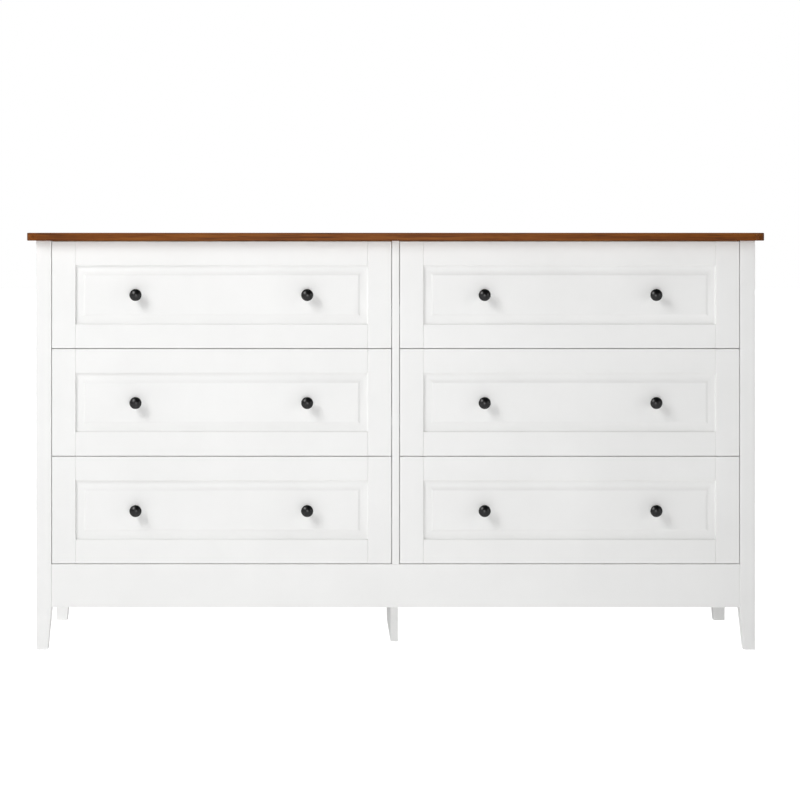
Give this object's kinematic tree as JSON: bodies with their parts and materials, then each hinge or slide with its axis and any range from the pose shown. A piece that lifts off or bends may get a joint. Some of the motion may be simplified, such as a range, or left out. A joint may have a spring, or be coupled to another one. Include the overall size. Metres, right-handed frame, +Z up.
{
  "type": "dresser with drawers",
  "caption": "Low wide dresser on tapered corner legs: painted case with raised-panel drawers in two columns, round knobs, and an overhanging stained wood top.",
  "frame": {"origin": "on the floor, at the middle of the dresser's box, knobs included", "axes": "+X to the right of someone who faces the drawers, +Y to the back, +Z up; the drawers open along -Y"},
  "size_m": [1.406, 0.409, 0.795],
  "materials": {
    "painted_wood": "satin white paint",
    "stained_wood": "brown stain with a satin lacquer",
    "box_wood": "clear sealed",
    "hardboard": "white faced",
    "black_metal": "satin black",
    "zinc_steel": "zinc plated"
  },
  "bodies": {
    "cabinet": {"top_panel": "stained_wood", "left_side_panel": "painted_wood", "right_side_panel": "painted_wood", "front_left_leg": "painted_wood", "front_right_leg": "painted_wood", "rear_left_leg": "painted_wood", "rear_right_leg": "painted_wood", "centre_partition": "painted_wood", "centre_foot": "painted_wood", "front_apron": "painted_wood", "rear_apron": "painted_wood", "bottom_panel": "painted_wood", "back_panels": "hardboard", "front_top_rails": "box_wood", "rear_top_rails": "box_wood", "slide_cabinet_members": "zinc_steel", "case_connectors": "zinc_steel", "case_screws": "zinc_steel"},
    "left_bottom_drawer": {"left_bottom_front": "painted_wood", "left_bottom_knobs": "black_metal", "left_bottom_box_sides": "box_wood", "left_bottom_box_rear": "box_wood", "left_bottom_box_floor": "hardboard", "left_bottom_slide_drawer_members": "zinc_steel"},
    "left_bottom_middle_members": {"left_bottom_slide_middle_members": "zinc_steel"},
    "left_middle_drawer": {"left_middle_front": "painted_wood", "left_middle_knobs": "black_metal", "left_middle_box_sides": "box_wood", "left_middle_box_rear": "box_wood", "left_middle_box_floor": "hardboard", "left_middle_slide_drawer_members": "zinc_steel"},
    "left_middle_middle_members": {"left_middle_slide_middle_members": "zinc_steel"},
    "left_top_drawer": {"left_top_front": "painted_wood", "left_top_knobs": "black_metal", "left_top_box_sides": "box_wood", "left_top_box_rear": "box_wood", "left_top_box_floor": "hardboard", "left_top_slide_drawer_members": "zinc_steel"},
    "left_top_middle_members": {"left_top_slide_middle_members": "zinc_steel"},
    "right_bottom_drawer": {"right_bottom_front": "painted_wood", "right_bottom_knobs": "black_metal", "right_bottom_box_sides": "box_wood", "right_bottom_box_rear": "box_wood", "right_bottom_box_floor": "hardboard", "right_bottom_slide_drawer_members": "zinc_steel"},
    "right_bottom_middle_members": {"right_bottom_slide_middle_members": "zinc_steel"},
    "right_middle_drawer": {"right_middle_front": "painted_wood", "right_middle_knobs": "black_metal", "right_middle_box_sides": "box_wood", "right_middle_box_rear": "box_wood", "right_middle_box_floor": "hardboard", "right_middle_slide_drawer_members": "zinc_steel"},
    "right_middle_middle_members": {"right_middle_slide_middle_members": "zinc_steel"},
    "right_top_drawer": {"right_top_front": "painted_wood", "right_top_knobs": "black_metal", "right_top_box_sides": "box_wood", "right_top_box_rear": "box_wood", "right_top_box_floor": "hardboard", "right_top_slide_drawer_members": "zinc_steel"},
    "right_top_middle_members": {"right_top_slide_middle_members": "zinc_steel"}
  },
  "joints": [
    {"name": "left_bottom_drawer_slide", "type": "slide", "parent": "cabinet", "child": "left_bottom_drawer", "axis": [0, -1, 0], "range_m": [0, 0.28]},
    {"name": "left_bottom_middle_slide", "type": "slide", "parent": "cabinet", "child": "left_bottom_middle_members", "axis": [0, -1, 0], "range_m": [0, 0.14]},
    {"name": "left_middle_drawer_slide", "type": "slide", "parent": "cabinet", "child": "left_middle_drawer", "axis": [0, -1, 0], "range_m": [0, 0.28]},
    {"name": "left_middle_middle_slide", "type": "slide", "parent": "cabinet", "child": "left_middle_middle_members", "axis": [0, -1, 0], "range_m": [0, 0.14]},
    {"name": "left_top_drawer_slide", "type": "slide", "parent": "cabinet", "child": "left_top_drawer", "axis": [0, -1, 0], "range_m": [0, 0.28]},
    {"name": "left_top_middle_slide", "type": "slide", "parent": "cabinet", "child": "left_top_middle_members", "axis": [0, -1, 0], "range_m": [0, 0.14]},
    {"name": "right_bottom_drawer_slide", "type": "slide", "parent": "cabinet", "child": "right_bottom_drawer", "axis": [0, -1, 0], "range_m": [0, 0.28]},
    {"name": "right_bottom_middle_slide", "type": "slide", "parent": "cabinet", "child": "right_bottom_middle_members", "axis": [0, -1, 0], "range_m": [0, 0.14]},
    {"name": "right_middle_drawer_slide", "type": "slide", "parent": "cabinet", "child": "right_middle_drawer", "axis": [0, -1, 0], "range_m": [0, 0.28]},
    {"name": "right_middle_middle_slide", "type": "slide", "parent": "cabinet", "child": "right_middle_middle_members", "axis": [0, -1, 0], "range_m": [0, 0.14]},
    {"name": "right_top_drawer_slide", "type": "slide", "parent": "cabinet", "child": "right_top_drawer", "axis": [0, -1, 0], "range_m": [0, 0.28]},
    {"name": "right_top_middle_slide", "type": "slide", "parent": "cabinet", "child": "right_top_middle_members", "axis": [0, -1, 0], "range_m": [0, 0.14]}
  ],
  "couplings": [
    {"joint": "left_bottom_middle_slide", "follows": "left_bottom_drawer_slide", "ratio": 0.5},
    {"joint": "left_middle_middle_slide", "follows": "left_middle_drawer_slide", "ratio": 0.5},
    {"joint": "left_top_middle_slide", "follows": "left_top_drawer_slide", "ratio": 0.5},
    {"joint": "right_bottom_middle_slide", "follows": "right_bottom_drawer_slide", "ratio": 0.5},
    {"joint": "right_middle_middle_slide", "follows": "right_middle_drawer_slide", "ratio": 0.5},
    {"joint": "right_top_middle_slide", "follows": "right_top_drawer_slide", "ratio": 0.5}
  ]
}
